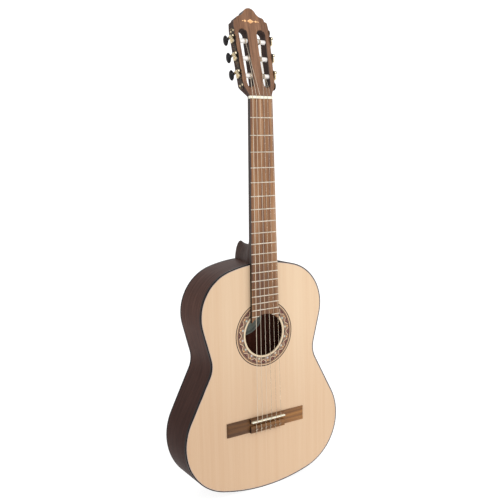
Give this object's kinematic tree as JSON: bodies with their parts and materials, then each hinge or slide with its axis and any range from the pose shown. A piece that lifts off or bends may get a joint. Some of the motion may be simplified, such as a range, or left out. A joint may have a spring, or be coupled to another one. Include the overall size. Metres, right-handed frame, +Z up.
{
  "type": "classical guitar",
  "caption": "Slot-headed nylon-string classical guitar with a hollow body, round sound hole, bridge, fretted neck and worm-geared tuning machines that turn.",
  "frame": {"origin": "tail end of the body on the centre line, in the plane of the soundboard's front", "axes": "+Z up along the strings towards the head, +Y backwards through the body, +X to the right as seen from the front"},
  "size_m": [0.376, 0.1079, 0.9803],
  "materials": {
    "spruce_top": "gloss lacquer over straight-grained pale spruce",
    "rosette_inlay": "dark and pale mosaic inlay under lacquer",
    "purfling": "grey dyed veneer strip under lacquer",
    "dark_wood": "satin very dark brown stained wood",
    "neck_wood": "satin dark brown stained wood",
    "binding": "near-black edging strip",
    "inner_wood": "bare reddish inner wood",
    "head_veneer": "satin mid-brown rosewood veneer",
    "rosewood": "oiled orange-brown rosewood with dark streaks",
    "bridge_rosewood": "oiled figured rosewood",
    "fret_metal": "polished nickel silver",
    "bone": "ivory-coloured bone",
    "nylon": "clear nylon",
    "wound_string": "silver-plated winding",
    "label_paper": "blank grey-green paper with a ruled border",
    "tuner_brass": "polished brass with engraved edge",
    "worm_metal": "polished brass",
    "screw_steel": "brass-plated round-head screws",
    "roller_white": "off-white roller sleeve",
    "button_black": "glossy black"
  },
  "bodies": {
    "guitar": {"soundboard": "spruce_top", "top_purfling": "purfling", "rosette": "rosette_inlay", "back_plate": "dark_wood", "side_bass": "dark_wood", "side_treble": "dark_wood", "top_binding": "binding", "back_binding": "binding", "top_lining": "inner_wood", "back_lining": "inner_wood", "tail_block": "inner_wood", "neck_block": "inner_wood", "top_braces": "inner_wood", "back_braces": "inner_wood", "neck": "neck_wood", "heel_cap": "dark_wood", "headstock": "neck_wood", "head_veneer": "head_veneer", "fingerboard": "rosewood", "frets": "fret_metal", "nut": "bone", "saddle": "bone", "bridge": "bridge_rosewood", "label": "label_paper", "plate_screws": "screw_steel", "tuner_plate_bass": "tuner_brass", "tuner_plate_treble": "tuner_brass", "string_1": "nylon", "string_2": "nylon", "string_3": "nylon", "string_4": "wound_string", "string_5": "wound_string", "string_6": "wound_string"},
    "button_6": {"worm_6": "worm_metal", "button_6": "button_black"},
    "roller_6": {"roller_6": "roller_white", "gear_6": "tuner_brass"},
    "button_5": {"worm_5": "worm_metal", "button_5": "button_black"},
    "roller_5": {"roller_5": "roller_white", "gear_5": "tuner_brass"},
    "button_4": {"worm_4": "worm_metal", "button_4": "button_black"},
    "roller_4": {"roller_4": "roller_white", "gear_4": "tuner_brass"},
    "button_1": {"worm_1": "worm_metal", "button_1": "button_black"},
    "roller_1": {"roller_1": "roller_white", "gear_1": "tuner_brass"},
    "button_2": {"worm_2": "worm_metal", "button_2": "button_black"},
    "roller_2": {"roller_2": "roller_white", "gear_2": "tuner_brass"},
    "button_3": {"worm_3": "worm_metal", "button_3": "button_black"},
    "roller_3": {"roller_3": "roller_white", "gear_3": "tuner_brass"}
  },
  "joints": [
    {"name": "button_6_spin", "type": "hinge", "parent": "guitar", "child": "button_6", "pos_m": [-0.04315, 0.01204, 0.85337], "axis": [0, 0.9763, -0.2164], "continuous": true},
    {"name": "roller_6_spin", "type": "hinge", "parent": "guitar", "child": "roller_6", "pos_m": [-0.03768, 0.01035, 0.84574], "axis": [-0.9994, -0.0076, -0.0341], "continuous": true},
    {"name": "button_5_spin", "type": "hinge", "parent": "guitar", "child": "button_5", "pos_m": [-0.04438, 0.01961, 0.88752], "axis": [0, 0.9763, -0.2164], "continuous": true},
    {"name": "roller_5_spin", "type": "hinge", "parent": "guitar", "child": "roller_5", "pos_m": [-0.0389, 0.01792, 0.87989], "axis": [-0.9994, -0.0076, -0.0341], "continuous": true},
    {"name": "button_4_spin", "type": "hinge", "parent": "guitar", "child": "button_4", "pos_m": [-0.0456, 0.02718, 0.92167], "axis": [0, 0.9763, -0.2164], "continuous": true},
    {"name": "roller_4_spin", "type": "hinge", "parent": "guitar", "child": "roller_4", "pos_m": [-0.04012, 0.02549, 0.91404], "axis": [-0.9994, -0.0076, -0.0341], "continuous": true},
    {"name": "button_1_spin", "type": "hinge", "parent": "guitar", "child": "button_1", "pos_m": [0.04315, 0.01204, 0.85337], "axis": [0, 0.9763, -0.2164], "continuous": true},
    {"name": "roller_1_spin", "type": "hinge", "parent": "guitar", "child": "roller_1", "pos_m": [0.03768, 0.01035, 0.84574], "axis": [0.9994, -0.0076, -0.0341], "continuous": true},
    {"name": "button_2_spin", "type": "hinge", "parent": "guitar", "child": "button_2", "pos_m": [0.04438, 0.01961, 0.88752], "axis": [0, 0.9763, -0.2164], "continuous": true},
    {"name": "roller_2_spin", "type": "hinge", "parent": "guitar", "child": "roller_2", "pos_m": [0.0389, 0.01792, 0.87989], "axis": [0.9994, -0.0076, -0.0341], "continuous": true},
    {"name": "button_3_spin", "type": "hinge", "parent": "guitar", "child": "button_3", "pos_m": [0.0456, 0.02718, 0.92167], "axis": [0, 0.9763, -0.2164], "continuous": true},
    {"name": "roller_3_spin", "type": "hinge", "parent": "guitar", "child": "roller_3", "pos_m": [0.04012, 0.02549, 0.91404], "axis": [0.9994, -0.0076, -0.0341], "continuous": true}
  ],
  "couplings": [
    {"joint": "roller_6_spin", "follows": "button_6_spin", "ratio": -0.071429},
    {"joint": "roller_5_spin", "follows": "button_5_spin", "ratio": -0.071429},
    {"joint": "roller_4_spin", "follows": "button_4_spin", "ratio": -0.071429},
    {"joint": "roller_1_spin", "follows": "button_1_spin", "ratio": 0.071429},
    {"joint": "roller_2_spin", "follows": "button_2_spin", "ratio": 0.071429},
    {"joint": "roller_3_spin", "follows": "button_3_spin", "ratio": 0.071429}
  ]
}
